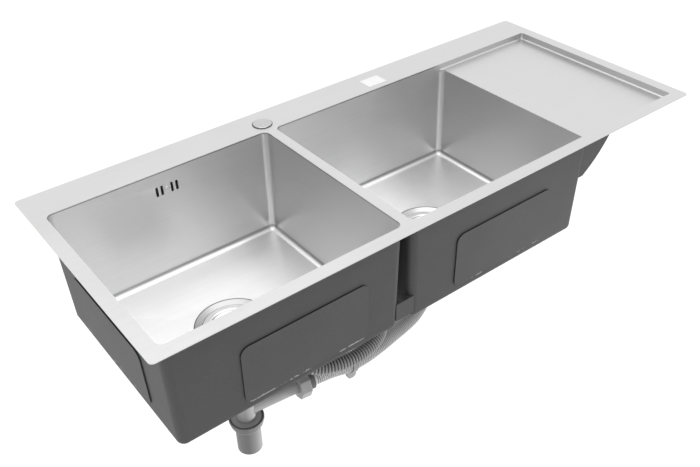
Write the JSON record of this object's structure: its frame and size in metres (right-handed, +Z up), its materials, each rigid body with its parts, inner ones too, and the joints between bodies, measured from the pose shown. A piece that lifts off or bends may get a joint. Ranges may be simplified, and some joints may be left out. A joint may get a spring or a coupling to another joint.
{
  "type": "drop-in double bowl kitchen sink",
  "caption": "Drop-in steel sink with two deep bowls, a shallow drainboard, lift-out basket strainers and the plastic waste pipes that hang below.",
  "frame": {"origin": "underside of the rim, on the strip between the two bowls, on the bowls' centre line", "axes": "+X along the sink towards the drainboard, +Y towards the back ledge, +Z up"},
  "size_m": [1.2, 0.5, 0.5526],
  "materials": {
    "steel_sheet": "fine brushed satin",
    "bright_steel": "polished",
    "coated_steel": "matt sprayed coating",
    "sound_pad": "matt bitumen sheet",
    "black_rubber": "matt",
    "grey_plastic": "satin moulded",
    "light_plastic": "satin moulded",
    "dark_plastic": "satin moulded",
    "hose_plastic": "ribbed, satin",
    "plate_metal": "printed foil, blank"
  },
  "bodies": {
    "sink": {"deck_plate": "steel_sheet", "rim_seal": "black_rubber", "left_bowl": "steel_sheet", "right_bowl": "steel_sheet", "tie_plate_front": "coated_steel", "tie_plate_rear": "coated_steel", "gusset_front": "coated_steel", "gusset_rear": "coated_steel", "pad_left_front": "sound_pad", "pad_left_side": "sound_pad", "pad_right_front": "sound_pad", "pad_right_side": "sound_pad", "overflow_port_nut": "light_plastic", "waste_tee": "grey_plastic", "branch_nut": "light_plastic", "branch_cuff": "dark_plastic", "outlet_pipe": "light_plastic", "bell_seal": "black_rubber", "reducer_bush": "grey_plastic", "right_tail_pipe": "grey_plastic", "overflow_gasket": "black_rubber", "overflow_housing": "grey_plastic", "overflow_screw": "bright_steel", "overflow_top_nut": "light_plastic", "waste_hose": "hose_plastic", "overflow_hose": "hose_plastic", "hose_clip": "dark_plastic", "tap_hole_cap": "bright_steel", "cap_washer": "black_rubber", "cap_wing_nut": "grey_plastic", "blank_plate": "plate_metal", "left_flange_seal": "black_rubber", "left_strainer_body": "bright_steel", "left_cup_gasket": "black_rubber", "left_clamp_screw": "bright_steel", "left_drain_cup": "grey_plastic", "left_tail_nut": "light_plastic", "left_tail_washer": "black_rubber", "right_flange_seal": "black_rubber", "right_strainer_body": "bright_steel", "right_cup_gasket": "black_rubber", "right_clamp_screw": "bright_steel", "right_drain_cup": "grey_plastic", "right_tail_nut": "light_plastic", "right_tail_washer": "black_rubber"},
    "left_strainer": {"left_basket": "bright_steel", "left_basket_seal": "black_rubber"},
    "right_strainer": {"right_basket": "bright_steel", "right_basket_seal": "black_rubber"}
  },
  "joints": [
    {"name": "left_basket_lift", "type": "slide", "parent": "sink", "child": "left_strainer", "axis": [0, 0, 1], "range_m": [0, 0.27]},
    {"name": "right_basket_lift", "type": "slide", "parent": "sink", "child": "right_strainer", "axis": [0, 0, 1], "range_m": [0, 0.27]}
  ]
}
